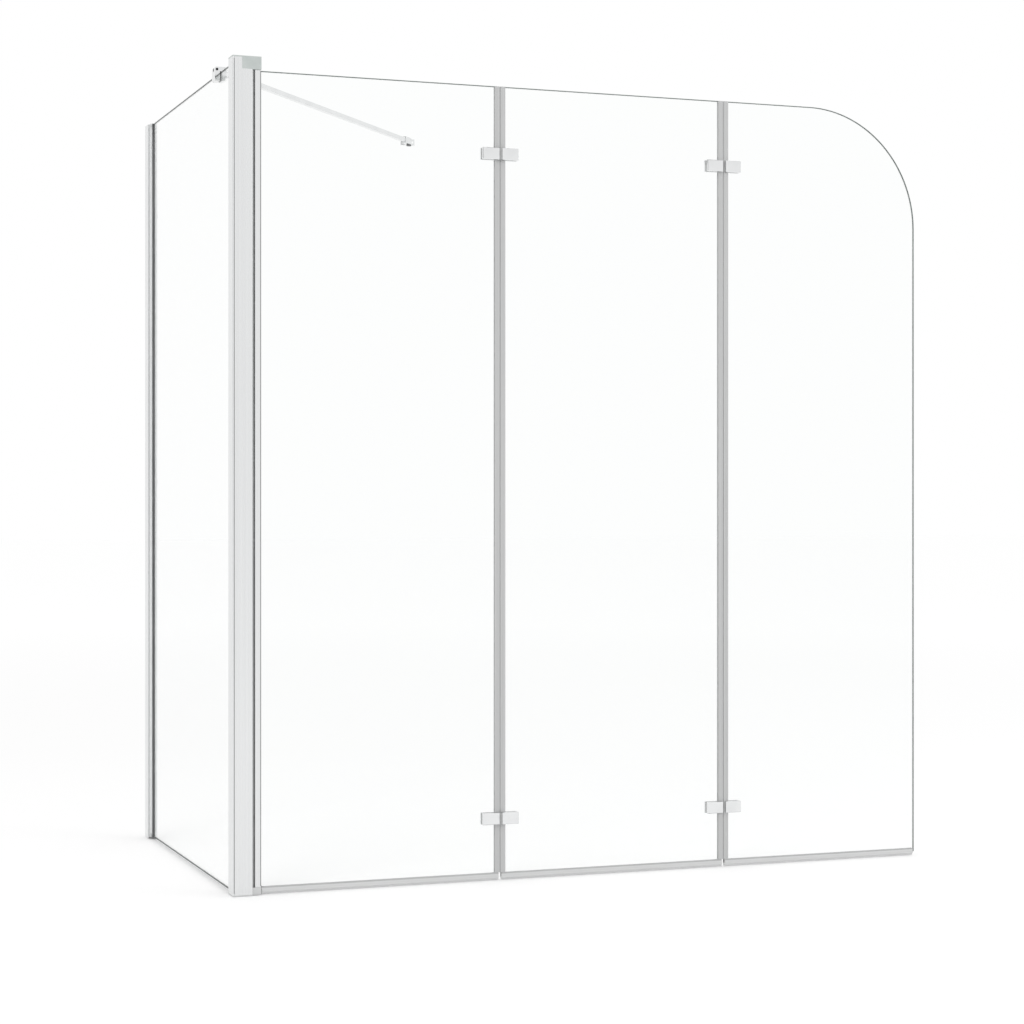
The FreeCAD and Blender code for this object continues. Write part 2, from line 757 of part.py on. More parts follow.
# A pad between a plate and the glass, slotted from the fold so that it slips over the screw.
def hinge_pad(body, hand, face):
    slot_half = "hinge_screw_radius + screw_gap"
    pad_half = "plate_height / 2 - pad_inset"
    fold_end = f"{hand} * (fold_gap + pad_inset)"
    slot_end = f"{hand} * ({screw_in} + {slot_half})"
    outline = [
        (f"{hand} * (fold_gap + plate_width - pad_inset)", pad_half),
        (fold_end, pad_half),
        (fold_end, slot_half),
        (slot_end, slot_half),
    ]
    front = half_glass if face > 0 else f"-{plate_inner}"
    slab(body, mirrored(outline, 1), front, "pad_thick")


# Seal on the upright edge of a glass, cut away where the hinges grip the glass.
def edge_seal(label, fold, hand):
    body = new_body(label, (f"{post_left} + {fold}", front_frame[1], "0"))
    leg_end = "(fold_gap + seal_leg)"
    seal_outer = "glass_thick / 2 + seal_wall"
    section = [
        (f"{hand} * seal_meet", seal_outer),
        (f"{hand} * {leg_end}", seal_outer),
        (f"{hand} * {leg_end}", half_glass),
        (f"{hand} * fold_gap", half_glass),
    ]
    column(body, [mirrored(section, 1)], "sweep_top + seal_gap", f"{front_top} - sweep_top - seal_gap")
    notches = new_sketch(body, "XZ_Plane")
    for level in hinge_levels.values():
        draw_outline(notches, rectangle(f"{hand} * fold_gap", f"{hand} * ({leg_end} + cut_overrun)",
                                        f"{level} - plate_height / 2 - seal_gap",
                                        f"{level} + plate_height / 2 + seal_gap"))
    pocket(body, notches)


pads = {1: [], 2: [], 3: []}
screws = {1: [], 2: [], 3: []}
for line, (fold, knuckle_face) in folds.items():
    pins = []
    for hand_name, hand in hands.items():
        panel = panel_of[line, hand_name]
        knuckles = side_knuckles if hand_name == "left" else middle_knuckles
        plates = []
        for level_name, level in hinge_levels.items():
            frame = (f"{post_left} + {fold}", front_frame[1], level)
            name = f"{line}_hinge_{level_name}_{hand_name}"
            leaf = new_body(f"{name}_leaf", frame)
            hinge_plate(leaf, hand, knuckle_face)
            add_knuckles(leaf, hand, knuckle_face, knuckles)
            plate = new_body(f"{name}_plate", frame, member=True)
            hinge_plate(plate, hand, -knuckle_face)
            plates.append(plate)
            for face, face_name in ((-1, "outer"), (1, "inner")):
                cushion = new_body(f"{name}_{face_name}_pad", frame, member=True)
                hinge_pad(cushion, hand, face)
                pads[panel].append(cushion)
            seat = f"{plate_outer} - {head_sink}"
            screw_across = f"{post_left} + {fold} + {hand} * ({screw_in})"
            screw_frame = (screw_across, f"{front_frame[1]} + {seat}", level)
            screws[panel].append(screw(
                f"{name}_screw", screw_frame, to_front, "hinge_screw_radius",
                f"{seat} + {plate_inner} + hinge_screw_grip", "hinge_head_radius", head_sink,
                "hinge_socket", sunk=True))
        group(f"{line}_hinge_{hand_name}_plates", plates)
        side = "right" if hand_name == "left" else "left"
        edge_seal(f"edge_seal_{panel}_{side}", fold, hand)
    for level_name, level in hinge_levels.items():
        axis_depth = f"{front_frame[1]} + {knuckle_face} * {hinge_axis}"
        pin_frame = (f"{post_left} + {fold}", axis_depth, level)
        pin = new_body(f"{line}_hinge_{level_name}_pin", pin_frame, member=True)
        turned(pin, rectangle("0", "hinge_pin_radius", "-plate_height / 2", "plate_height / 2"))
        pins.append(pin)
    group(f"{line}_hinge_pins", pins)
for panel in pads:
    group(f"panel_{panel}_hinge_pads", pads[panel])
    group(f"panel_{panel}_hinge_screws", screws[panel])

# Clamp on the top edge of the side glass
clamp_foot = "screen_height - clamp_height"
clamp_near = "clamp_at - side_depth - clamp_length / 2"
jaw_face = "glass_thick / 2 + clamp_pad"
outer_jaw_back = f"{jaw_face} + outer_jaw"
inner_jaw_back = f"{jaw_face} + inner_jaw"
bolt_level = "screen_height - bolt_drop"
bolt_spot = ("clamp_at - side_depth", bolt_level)
bar_level = "screen_height - bar_drop"
lip_foot_level = f"{side_top} + clamp_lip_gap"


def long_edge(edge):
    box = edge.BoundBox
    return near(box.XLength, 0) and near(box.ZLength, 0)


clamp_outer_jaw = new_body("clamp_outer_jaw")
outer_jaw_outline = [
    (f"-({outer_jaw_back})", clamp_foot),
    (f"-({jaw_face})", clamp_foot),
    (f"-({jaw_face})", lip_foot_level),
    (f"{jaw_face} - plug_gap", lip_foot_level),
    (f"{jaw_face} - plug_gap", "screen_height"),
    (f"-({outer_jaw_back})", "screen_height"),
]
slab(clamp_outer_jaw, outer_jaw_outline, clamp_near, "clamp_length")


def outer_side(edge):
    return long_edge(edge) and near(edge.BoundBox.XMin, clamp_outer_jaw.Tip.Shape.BoundBox.XMin)


dress(clamp_outer_jaw, "Fillet", "Radius", "clamp_rounding", outer_side)
drill(clamp_outer_jaw, "YZ_Plane", [bolt_spot], "bolt_radius + fit_gap")
head_recess = new_sketch(clamp_outer_jaw, "YZ_Plane", f"-({outer_jaw_back})")
draw_circle(head_recess, bolt_spot, "bolt_head_radius + fit_gap")
pocket(clamp_outer_jaw, head_recess, "bolt_head_thick", reverse=True)

clamp_inner_jaw = new_body("clamp_inner_jaw")
inner_jaw_outline = rectangle(jaw_face, inner_jaw_back, clamp_foot, "screen_height")
slab(clamp_inner_jaw, inner_jaw_outline, clamp_near, "clamp_length")
dress(clamp_inner_jaw, "Chamfer", "Size", "fitting_bevel", at_end(clamp_inner_jaw, "X", high=True))
clamp_swivel = (f"{inner_jaw_back} + tongue_reach", "clamp_at - side_depth")
tongue_foot = f"{bar_level} - tongue_thick / 2"
clamp_tongue = rectangle(inner_jaw_back, clamp_swivel[0], f"{clamp_swivel[1]} - tongue_width / 2",
                         f"{clamp_swivel[1]} + tongue_width / 2")
column(clamp_inner_jaw, [clamp_tongue], tongue_foot, "tongue_thick")
clamp_tip = new_sketch(clamp_inner_jaw, "XY_Plane", tongue_foot)
draw_circle(clamp_tip, clamp_swivel, "tongue_width / 2")
pad(clamp_inner_jaw, clamp_tip, "tongue_thick")
drill(clamp_inner_jaw, "XY_Plane", [clamp_swivel], "swivel_pin_radius + fit_gap")
bolt_thread = new_sketch(clamp_inner_jaw, "YZ_Plane", jaw_face)
draw_circle(bolt_thread, bolt_spot, "bolt_radius + fit_gap")
pocket(clamp_inner_jaw, bolt_thread, "bolt_grip + fit_gap", reverse=True)

bolt_seat = f"-({outer_jaw_back}) + bolt_head_thick"
group("clamp_bolt", [
    screw("clamp_bolt_body", (bolt_seat, *bolt_spot), to_left, "bolt_radius",
          f"{jaw_face} + bolt_grip - ({bolt_seat})", "bolt_head_radius", "bolt_head_thick", "bolt_socket")
])

clamp_pads = []
for side in (-1, 1):
    cushion = new_body(f"clamp_pad_{len(clamp_pads)}", member=True)
    pad_outline = rectangle(f"{side} * ({half_glass} + fit_gap)", f"{side} * ({jaw_face})",
                            f"{clamp_foot} + clamp_pad_inset", f"{side_top} - clamp_pad_inset")
    slab(cushion, pad_outline, f"{clamp_near} + clamp_pad_inset", "clamp_length - clamp_pad_inset * 2")
    clamp_pads.append(cushion)
group("clamp_pads", clamp_pads)

# Wall bracket of the stabiliser bar
wall_swivel = ("bar_wall_at", "-(bracket_plate_thick + tongue_reach)")
bar_wall_bracket = new_body("bar_wall_bracket")
wall_plate = rectangle("bar_wall_at - bracket_plate_width / 2", "bar_wall_at + bracket_plate_width / 2",
                       f"{bar_level} - fork_height / 2", f"{bar_level} + fork_height / 2")
slab(bar_wall_bracket, wall_plate, "-bracket_plate_thick", "bracket_plate_thick")
dress(bar_wall_bracket, "Chamfer", "Size", "fitting_bevel", at_end(bar_wall_bracket, "Y", high=False))
wall_tongue = rectangle("bar_wall_at - tongue_width / 2", "bar_wall_at + tongue_width / 2",
                        wall_swivel[1], "-bracket_plate_thick")
column(bar_wall_bracket, [wall_tongue], tongue_foot, "tongue_thick")
wall_tip = new_sketch(bar_wall_bracket, "XY_Plane", tongue_foot)
draw_circle(wall_tip, wall_swivel, "tongue_width / 2")
pad(bar_wall_bracket, wall_tip, "tongue_thick")
drill(bar_wall_bracket, "XY_Plane", [wall_swivel], "swivel_pin_radius + fit_gap")
bracket_holes = [(f"bar_wall_at {sign} bracket_hole_pitch / 2", bar_level) for sign in "-+"]
drill(bar_wall_bracket, "XZ_Plane", bracket_holes, "bracket_hole_radius")

# Stabiliser bar, held at each end in a fork that is pinned to a tongue
bar_across = f"({wall_swivel[0]} - ({clamp_swivel[0]}))"
bar_along = f"({wall_swivel[1]} - ({clamp_swivel[1]}))"
bar_angle = f"atan2({bar_along}; {bar_across})"
bar_ends = "fork_length - fork_socket"
bar_length = f"sqrt({bar_across} * {bar_across} + {bar_along} * {bar_along}) - 2 * ({bar_ends})"
fork_slot_end = "tongue_width / 2 + swing_gap"


def bar_fork(label, swivel, angle):
    body = new_body(label, (*swivel, bar_level))
    bind(body, "Placement.Rotation.Angle", angle)
    foot = "-fork_height / 2"
    column(body, [rectangle("0", "fork_length", "-fork_width / 2", "fork_width / 2")], foot, "fork_height")
    nose = new_sketch(body, "XY_Plane", foot)
    draw_circle(nose, ("0", "0"), "fork_width / 2")
    pad(body, nose, "fork_height")
    slot = new_sketch(body, "XZ_Plane")
    draw_outline(slot, rectangle("-(fork_width / 2 + cut_overrun)", fork_slot_end,
                                 "-(tongue_thick / 2 + plug_gap)", "tongue_thick / 2 + plug_gap"))
    pocket(body, slot)
    drill(body, "XY_Plane", [("0", "0")], "swivel_pin_radius + fit_gap")
    socket = new_sketch(body, "YZ_Plane", "fork_length")
    half = "bar_side / 2 + fit_gap"
    draw_outline(socket, rectangle(f"-({half})", half, f"-({half})", half))
    pocket(body, socket, "fork_socket")


bar_fork("bar_clamp_end", clamp_swivel, bar_angle)
bar_fork("bar_wall_end", wall_swivel, f"180 deg + {bar_angle}")

stabiliser_bar = new_body("stabiliser_bar", (*clamp_swivel, bar_level))
bind(stabiliser_bar, "Placement.Rotation.Angle", bar_angle)
bar_half = "bar_side / 2"
bar_bore = "(bar_side / 2 - bar_wall)"
bar_section = new_sketch(stabiliser_bar, "YZ_Plane", bar_ends)
draw_outline(bar_section, rectangle(f"-{bar_half}", bar_half, f"-{bar_half}", bar_half))
draw_outline(bar_section, rectangle(f"-{bar_bore}", bar_bore, f"-{bar_bore}", bar_bore))
pad(stabiliser_bar, bar_section, bar_length)


def bar_corner(edge):
    reach = edge.BoundBox
    whole = stabiliser_bar.Tip.Shape.BoundBox
    along = near(reach.YLength, 0) and near(reach.ZLength, 0)
    return along and near(abs(reach.YMin), whole.YMax) and near(abs(reach.ZMin), whole.ZMax)


dress(stabiliser_bar, "Fillet", "Radius", "bar_rounding", bar_corner)

for label, swivel in (("clamp_swivel_pin", clamp_swivel), ("bar_wall_pin", wall_swivel)):
    swivel_pin = new_body(label, (*swivel, bar_level))
    turned(swivel_pin, [
        ("0", "-fork_height / 2"),
        ("swivel_pin_radius", "-fork_height / 2"),
        ("swivel_pin_radius", "fork_height / 2"),
        ("swivel_head_radius", "fork_height / 2"),
        ("swivel_head_radius", "fork_height / 2 + swivel_head_thick"),
        ("0", "fork_height / 2 + swivel_head_thick"),
    ])

# Build, test and write every piece
doc.recompute()
for item in doc.Objects:
    if {"Invalid", "Error"} & set(item.State):
        raise RuntimeError(f"{item.Name} failed: {item.State}")
    if item.TypeId == "PartDesign::Pocket" and item.Shape.Volume >= item.BaseFeature.Shape.Volume:
        raise RuntimeError(f"{item.Name} cuts nothing")
os.makedirs("parts", exist_ok=True)
for label, piece in pieces.items():
    if piece.Shape.isNull() or not piece.Shape.isValid():
        raise RuntimeError(f"{label} has no valid shape")
    piece.Shape.exportStep(f"parts/{label}.step")
print(len(pieces), "pieces")
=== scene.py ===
import json
import math

import bmesh
import bpy
import numpy as np
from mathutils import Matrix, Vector


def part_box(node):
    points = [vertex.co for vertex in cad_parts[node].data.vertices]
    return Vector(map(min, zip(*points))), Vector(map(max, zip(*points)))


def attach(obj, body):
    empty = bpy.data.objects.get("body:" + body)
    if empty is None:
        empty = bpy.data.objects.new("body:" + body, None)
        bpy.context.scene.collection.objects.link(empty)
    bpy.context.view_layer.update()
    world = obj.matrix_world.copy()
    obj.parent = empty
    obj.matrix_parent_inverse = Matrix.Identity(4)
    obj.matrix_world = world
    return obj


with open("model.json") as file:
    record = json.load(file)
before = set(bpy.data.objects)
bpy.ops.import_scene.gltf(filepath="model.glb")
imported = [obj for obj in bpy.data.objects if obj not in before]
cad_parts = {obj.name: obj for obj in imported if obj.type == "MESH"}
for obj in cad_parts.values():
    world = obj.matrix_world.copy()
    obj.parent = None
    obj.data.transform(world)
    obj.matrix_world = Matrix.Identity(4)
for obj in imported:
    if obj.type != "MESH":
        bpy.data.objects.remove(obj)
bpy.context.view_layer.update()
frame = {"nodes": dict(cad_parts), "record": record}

nodes = frame["nodes"]
scene = bpy.context.scene
print("frame loaded:", len(nodes), "pieces")


def spot(node):
    # lowest and highest corner of a piece, as plain arrays
    low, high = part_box(node)
    return np.array(low, float), np.array(high, float)


# finishes: every one is a Principled surface, with its colour, roughness and bump driven by a noise
# that is stretched along the piece it covers

# detail and roughness of each noise, and the two ends between which most of its values lie
grains = {"broad": (2.0, 0.5), "fine": (4.0, 0.6), "wave": (1.0, 0.4), "ends": (0.3, 0.7)}


def ranged(tree, value, start, end, bend="LINEAR"):
    # a value between the two numbers of start, brought between the two numbers of end
    ranger = tree.nodes.new("ShaderNodeMapRange")
    ranger.interpolation_type = bend
    for socket, number in zip(("From Min", "From Max", "To Min", "To Max"), (*start, *end)):
        ranger.inputs[socket].default_value = number
    tree.links.new(value, ranger.inputs["Value"])
    return ranger.outputs["Result"]


def newFinish(look):
    mat = bpy.data.materials.new(look["name"])
    mat.use_nodes = True
    tree = mat.node_tree
    tree.nodes.clear()
    out = tree.nodes.new("ShaderNodeOutputMaterial")
    skin = tree.nodes.new("ShaderNodeBsdfPrincipled")
    tree.links.new(skin.outputs["BSDF"], out.inputs["Surface"])
    skin.inputs["Metallic"].default_value = look.get("metal", 0.0)
    skin.inputs["IOR"].default_value = look.get("ior", 1.5)
    skin.inputs["Transmission Weight"].default_value = look.get("clear", 0.0)
    return mat, tree, skin


def grain(tree, scale, kind):
    # noise on the piece's own coordinates, squeezed or stretched on each axis
    where = tree.nodes.new("ShaderNodeTexCoord")
    stretch = tree.nodes.new("ShaderNodeMapping")
    stretch.inputs["Scale"].default_value = scale
    noise = tree.nodes.new("ShaderNodeTexNoise")
    noise.inputs["Scale"].default_value = 1.0
    noise.inputs["Detail"].default_value, noise.inputs["Roughness"].default_value = grains[kind]
    tree.links.new(where.outputs["Object"], stretch.inputs["Vector"])
    tree.links.new(stretch.outputs["Vector"], noise.inputs["Vector"])
    return noise.outputs["Fac"]


def tint(tree, value, dark, light):
    # the two ends of a noise brought to two colours
    ramp = tree.nodes.new("ShaderNodeValToRGB")
    for stop, place, colour in zip(ramp.color_ramp.elements, grains["ends"], (dark, light)):
        stop.position = place
        stop.color = (*colour, 1.0)
    tree.links.new(value, ramp.inputs["Fac"])
    return ramp.outputs["Color"]


def relief(tree, skin, value, look):
    bump = tree.nodes.new("ShaderNodeBump")
    bump.inputs["Distance"].default_value = look["depth"]
    bump.inputs["Strength"].default_value = look["strength"]
    tree.links.new(value, bump.inputs["Height"])
    tree.links.new(bump.outputs["Normal"], skin.inputs["Normal"])


def grainedFinish(look):
    mat, tree, skin = newFinish(look)
    broad = grain(tree, look["broadScale"], "broad")
    fine = grain(tree, look["fineScale"], "fine")
    tree.links.new(tint(tree, broad, look["dark"], look["light"]), skin.inputs["Base Color"])
    tree.links.new(ranged(tree, fine, grains["ends"], look["rough"]), skin.inputs["Roughness"])
    relief(tree, skin, fine, look)
    return mat


looks = {
    "bright_aluminium": {
        "name": "brightAluminium", "metal": 1.0,
        "dark": (0.735, 0.743, 0.747), "light": (0.778, 0.786, 0.789),
        "broadScale": (260.0, 260.0, 0.6), "fineScale": (1500.0, 1500.0, 3.0),
        "rough": (0.20, 0.32), "depth": 0.00004, "strength": 0.25,
    },
    "chrome": {
        "name": "polishedChrome", "metal": 1.0,
        "dark": (0.742, 0.750, 0.754), "light": (0.802, 0.809, 0.812),
        "broadScale": (35.0, 35.0, 35.0), "fineScale": (420.0, 420.0, 420.0),
        "rough": (0.05, 0.10), "depth": 0.00002, "strength": 0.08,
    },
    "steel": {
        "name": "turnedSteel", "metal": 1.0,
        "dark": (0.50, 0.51, 0.52), "light": (0.62, 0.63, 0.635),
        "broadScale": (300.0, 300.0, 300.0), "fineScale": (900.0, 900.0, 2600.0),
        "rough": (0.22, 0.38), "depth": 0.00003, "strength": 0.2,
    },
    "black_steel": {
        "name": "blackenedSteel", "metal": 0.6,
        "dark": (0.018, 0.018, 0.020), "light": (0.035, 0.035, 0.038),
        "broadScale": (300.0, 300.0, 300.0), "fineScale": (2600.0, 900.0, 900.0),
        "rough": (0.45, 0.60), "depth": 0.00003, "strength": 0.2,
    },
    "grey_plastic": {
        "name": "mouldedGrey",
        "dark": (0.50, 0.54, 0.525), "light": (0.55, 0.585, 0.572),
        "broadScale": (60.0, 60.0, 60.0), "fineScale": (2600.0, 2600.0, 2600.0),
        "rough": (0.40, 0.52), "depth": 0.00005, "strength": 0.3,
    },
    "seal_vinyl": {
        "name": "clearVinyl", "clear": 0.12, "ior": 1.45,
        "dark": (0.545, 0.55, 0.55), "light": (0.645, 0.65, 0.65),
        "broadScale": (700.0, 700.0, 1.2), "fineScale": (1800.0, 1800.0, 12.0),
        "rough": (0.26, 0.40), "depth": 0.00005, "strength": 0.3,
    },
    "dark_rubber": {
        "name": "gasketRubber",
        "dark": (0.11, 0.113, 0.115), "light": (0.16, 0.163, 0.165),
        "broadScale": (200.0, 200.0, 20.0), "fineScale": (2400.0, 2400.0, 400.0),
        "rough": (0.55, 0.72), "depth": 0.00006, "strength": 0.4,
    },
    "pad_rubber": {
        "name": "padRubber",
        "dark": (0.30, 0.305, 0.305), "light": (0.375, 0.38, 0.38),
        "broadScale": (200.0, 200.0, 200.0), "fineScale": (2400.0, 2400.0, 2400.0),
        "rough": (0.55, 0.70), "depth": 0.00006, "strength": 0.4,
    },
}

# the sweeps along the foot get a paler copy of the seal vinyl, which lifts them where they face down
# into shade: painted light; their grain lies along X
looks["sweep"] = {
    **looks["seal_vinyl"], "name": "paintedLightVinyl",
    "dark": (0.70, 0.705, 0.705), "light": (0.80, 0.805, 0.805),
    "broadScale": (1.2, 700.0, 700.0), "fineScale": (12.0, 1800.0, 1800.0),
}

# the pads that cushion the glass in the hinges get a paler copy of the pad rubber, which lifts them
# where they sit in shade: painted light
looks["cushion"] = {
    **looks["pad_rubber"], "name": "paintedLightCushion",
    "dark": (0.48, 0.485, 0.485), "light": (0.56, 0.565, 0.565),
}

# the bracket and the cap at the post's foot are paler than those at its top
looks["foot"] = {
    **looks["grey_plastic"], "name": "mouldedPale",
    "dark": (0.60, 0.608, 0.606), "light": (0.66, 0.668, 0.666),
}

finishes = {key: grainedFinish(look) for key, look in looks.items()}

# toughened glass: clear all through, with the faint roller waves that the furnace leaves
glassLook = {
    "name": "clearGlass", "clear": 1.0, "ior": 1.5, "colour": (0.982, 0.990, 0.987),
    "wave": (3.0, 3.0, 7.0), "rough": (0.0, 0.012), "depth": 0.0002, "strength": 0.05,
}
glass, glassTree, glassSkin = newFinish(glassLook)
glassSkin.inputs["Base Color"].default_value = (*glassLook["colour"], 1.0)
waves = grain(glassTree, glassLook["wave"], "wave")
glassRough = ranged(glassTree, waves, grains["ends"], glassLook["rough"])
glassTree.links.new(glassRough, glassSkin.inputs["Roughness"])
relief(glassTree, glassSkin, waves, glassLook)
finishes["clear_glass"] = glass
print("finishes:", len(finishes))

slots = {part["node"]: part["material_slot"] for part in frame["record"]["subparts"]}


def finishKey(name):
    # the finish of a piece is that of its slot, apart from the paler ones
    if name.startswith("bottom_seal"):
        return "sweep"
    if name.endswith("hinge_pads"):
        return "cushion"
    if name in ("bottom_pivot_bracket", "post_foot_cap"):
        return "foot"
    return slots[name]


for name, obj in nodes.items():
    finish = finishes[finishKey(name)]
    for place in obj.material_slots:
        place.material = finish
    if not obj.material_slots:
        obj.data.materials.append(finish)
    # the panes let the light of the room through without a shadow
    if slots[name] == "clear_glass":
        obj.visible_shadow = False
        obj.visible_diffuse = False
print("pieces dressed:", len(nodes))

# forms shared by the trim

sharpAngle = math.radians(30.0)


def meshPiece(name, form, finish, body, ends=()):
    points, faces = form
    mesh = bpy.data.meshes.new(name)
    mesh.from_pydata(points.tolist(), [], faces.tolist() + list(ends))
    mesh.materials.append(finish)
    mesh.validate()
    # the winding depends on the way round the form, so the normals are made to agree
    shell = bmesh.new()
    shell.from_mesh(mesh)
    bmesh.ops.recalc_face_normals(shell, faces=shell.faces)
    shell.to_mesh(mesh)
    shell.free()
    mesh.polygons.foreach_set("use_smooth", np.ones(len(mesh.polygons), bool))
    mesh.set_sharp_from_angle(angle=sharpAngle)
    piece = bpy.data.objects.new(name, mesh)
    scene.collection.objects.link(piece)
    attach(piece, body)


def gridFaces(rows, cols, tube=False):
    # four-sided faces between neighbouring rows of points: every row closes on itself, and in a tube
    # the last row meets the first
    r, c = np.meshgrid(np.arange(rows if tube else rows - 1), np.arange(cols), indexing="ij")
    m, n = (r + 1) % rows, (c + 1) % cols
    return np.stack([r * cols + c, r * cols + n, m * cols + n, m * cols + c], -1).reshape(-1, 4)


def joined(forms):
    # several forms as one: the faces of each count on from the points of those before it
    points, faces = zip(*forms)
    starts = np.cumsum([0] + [len(part) for part in points[:-1]])
    counted = [part + start for part, start in zip(faces, starts)]
    return np.concatenate(points), np.concatenate(counted)


def stripForm(across, deep, levels):
    # a rectangle of two places across and two places deep, carried from one level to the other
    flat = np.stack([np.take(across, [0, 1, 1, 0]), np.take(deep, [0, 0, 1, 1])], -1)
    points = np.column_stack([np.tile(flat, (2, 1)), np.repeat(levels, len(flat))])
    return points, np.concatenate([gridFaces(2, len(flat)), [[0, 1, 2, 3], [4, 5, 6, 7]]])


def turnedForm(centre, axes, rings, steps, tube=False):
    # rings turned about the first of the axes: each has a radius, a place along that axis and a number
    # of sides; a ring with sides is a polygon, and its reach is its radius to the flat over the cosine
    # of the angle to the middle of the side
    turn = np.linspace(0.0, 2 * math.pi, steps, endpoint=False)
    radius, place, sides = (column[:, None] for column in np.array(rings, float).T)
    sector = 2 * math.pi / np.maximum(sides, 1.0)
    reach = np.where(sides > 0, radius / np.cos(turn % sector - sector / 2), radius)
    along, across, upward = np.array(axes, float)
    points = (np.array(centre) + place[..., None] * along
              + (reach * np.cos(turn))[..., None] * across
              + (reach * np.sin(turn))[..., None] * upward).reshape(-1, 3)
    return points, gridFaces(len(rings), steps, tube)


def discs(form, steps):
    # the faces that close the first and the last ring of a turned form
    count = len(form[0])
    return [list(range(steps)), list(range(count - steps, count))]


# ground edges of the panes

edgeLook = {
    "name": "groundEdge",
    "dark": (0.17, 0.20, 0.19), "light": (0.25, 0.28, 0.27),
    "broadScale": (90.0, 90.0, 90.0), "fineScale": (2200.0, 2200.0, 2200.0),
    "rough": (0.30, 0.45), "depth": 0.00005, "strength": 0.3,
}
finishes["edge"] = grainedFinish(edgeLook)

# the side pane is seen nearly edge on, so its edges get a darker copy of the ground edge colour:
# painted shade
sideEdgeLook = {
    **edgeLook, "name": "paintedShadeEdge",
    "dark": (0.05, 0.06, 0.056), "light": (0.08, 0.09, 0.086),
}
finishes["sideEdge"] = grainedFinish(sideEdgeLook)

edgeBand = {
    "frontReach": 0.0012, "sideReach": 0.0026, "arris": 0.0006, "skin": 0.00004,
    "cornerRadius": 0.2, "arcSteps": 48,
}


def groundBand(path, outward, middle, half, reach, lay):
    # a thin U carried along the edge of the pane: at each path point the profile gives a distance
    # outwards in the plane of the pane and a distance across its thickness
    arris, skin = edgeBand["arris"], edgeBand["skin"]
    outer = np.array([-reach, -arris, skin, skin, -arris, -reach])
    inner = np.array([-reach, -arris - skin, -skin, -skin, -arris - skin, -reach])
    outerSide = np.array([-half - skin, -half - skin, arris - half,
                          half - arris, half + skin, half + skin])
    innerSide = np.array([skin - half, skin - half, arris - half,
                          half - arris, half - skin, half - skin])
    profile = np.stack([np.r_[outer, inner[::-1]], np.r_[outerSide, innerSide[::-1]]], 1)
    flat = path[:, None, :] + outward[:, None, :] * profile[None, :, :1]
    across = np.broadcast_to(middle + profile[None, :, 1], flat.shape[:2])
    points = lay(flat[..., 0], flat[..., 1], across).reshape(-1, 3)
    rows, cols = len(path), len(profile)
    k = np.arange(cols // 2 - 1)
    cap = np.stack([k, cols - 1 - k, cols - 2 - k, k + 1], -1)
    return points, np.concatenate([gridFaces(rows, cols), cap, cap + (rows - 1) * cols])


def frontLay(u, v, across):
    return np.stack([u, across, v], -1)


def sideLay(u, v, across):
    return np.stack([across, u, v], -1)


def straightPath(start, end, outward):
    return np.array([start, end], float), np.array([outward, outward], float)


def cornerPath(low, high):
    # along the top of the pane, round its corner and down its free edge
    radius = edgeBand["cornerRadius"]
    turn = np.linspace(math.pi / 2, 0.0, edgeBand["arcSteps"] + 1)
    way = np.stack([np.cos(turn), np.sin(turn)], 1)
    arc = np.array([high[0] - radius, high[2] - radius]) + radius * way
    path = np.concatenate([[[low[0], high[2]]], arc, [[high[0], low[2]]]])
    return path, np.concatenate([[[0.0, 1.0]], way, [[1.0, 0.0]]])


for number in (1, 2, 3):
    low, high = spot(f"front_glass_{number}")
    middle, half = (low[1] + high[1]) / 2, (high[1] - low[1]) / 2
    if number < 3:
        path, outward = straightPath((low[0], high[2]), (high[0], high[2]), (0.0, 1.0))
    else:
        path, outward = cornerPath(low, high)
    form = groundBand(path, outward, middle, half, edgeBand["frontReach"], frontLay)
    body = f"front_panel_{number}"
    meshPiece(f"front_edge_{number}", form, finishes["edge"], body)

low, high = spot("side_glass")
middle, half = (low[0] + high[0]) / 2, (high[0] - low[0]) / 2
for name, level, way in (("side_edge_top", high[2], 1.0), ("side_edge_foot", low[2], -1.0)):
    path, outward = straightPath((low[1], level), (high[1], level), (0.0, way))
    form = groundBand(path, outward, middle, half, edgeBand["sideReach"], sideLay)
    meshPiece(name, form, finishes["sideEdge"], "side_panel")
print("ground edges done")

# dark strip laid in the groove in the front of the post: painted shade that deepens the groove's
# shadow

paintedGrooveShade = {
    "fromLeft": (0.00205, 0.00295), "fromFront": (0.0003, 0.00115),
    "clearFoot": 0.0025, "clearTop": 0.0025,
}
low, high = spot("corner_post")
across = low[0] + np.array(paintedGrooveShade["fromLeft"])
deep = low[1] + np.array(paintedGrooveShade["fromFront"])
levels = (low[2] + paintedGrooveShade["clearFoot"], high[2] - paintedGrooveShade["clearTop"])
form = stripForm(across, deep, levels)
meshPiece("post_groove_painted_shade", form, finishes["dark_rubber"], "side_panel")
print("groove strip done")

# strips that close the slits between the pivot profile and its brackets

endStrip = {
    "pocketWall": 0.0015, "gasketProud": 0.0015, "sideIn": 0.0001, "frontIn": 0.00005,
    "thick": 0.0012,
}
low, high = spot("pivot_profile")
gasketLow, gasketHigh = spot("pivot_gasket")
across = (gasketLow[0] - endStrip["pocketWall"] + endStrip["sideIn"],
          gasketHigh[0] - endStrip["gasketProud"] - endStrip["sideIn"])
deep = low[1] + endStrip["frontIn"] + np.array([0.0, endStrip["thick"]])
for name, levels in (("pivot_strip_top", (high[2], spot("top_bush")[1][2])),
                     ("pivot_strip_foot", (spot("bottom_bush")[0][2], low[2]))):
    form = stripForm(across, deep, levels)
    meshPiece(name, form, finishes["bright_aluminium"], "front_panel_1")
print("end strips done")
